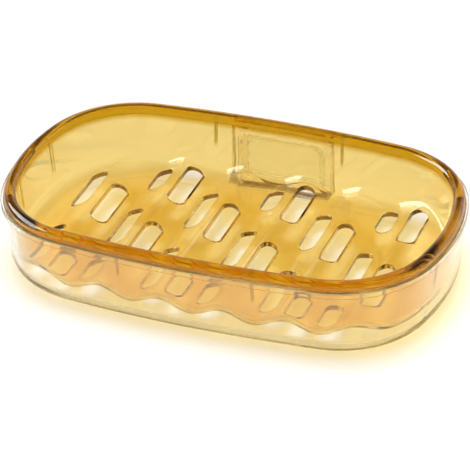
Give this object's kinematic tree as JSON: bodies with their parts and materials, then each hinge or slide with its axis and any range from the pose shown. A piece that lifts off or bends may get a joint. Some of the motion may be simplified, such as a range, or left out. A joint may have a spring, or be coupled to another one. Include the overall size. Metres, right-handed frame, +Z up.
{
  "type": "suction soap holder",
  "caption": "Low oval soap holder: an amber drain tray with a wavy slotted floor sits in a clear tub whose back socket slides onto a small suction wall plate.",
  "frame": {"origin": "middle of the tub's flat underside, on the table", "axes": "+X along the holder's length, +Y towards the wall behind it, +Z up; the front is -Y"},
  "size_m": [0.137, 0.0918, 0.0256],
  "materials": {
    "clear_plastic": "clear, polished",
    "amber_plastic": "see-through amber, polished",
    "plate_plastic": "clear, glossy",
    "soft_pad": "soft clear, smooth"
  },
  "bodies": {
    "wall_mount": {"wall_plate": "plate_plastic", "suction_pad": "soft_pad"},
    "tub": {"water_tub": "clear_plastic"},
    "tray": {"drain_tray": "amber_plastic"}
  },
  "joints": [
    {"name": "holder_lift", "type": "slide", "parent": "wall_mount", "child": "tub", "axis": [0, 0, 1], "range_m": [0, 0.02]},
    {"name": "tray_lift", "type": "slide", "parent": "tub", "child": "tray", "axis": [0, 0, 1], "range_m": [0, 0.022]}
  ]
}
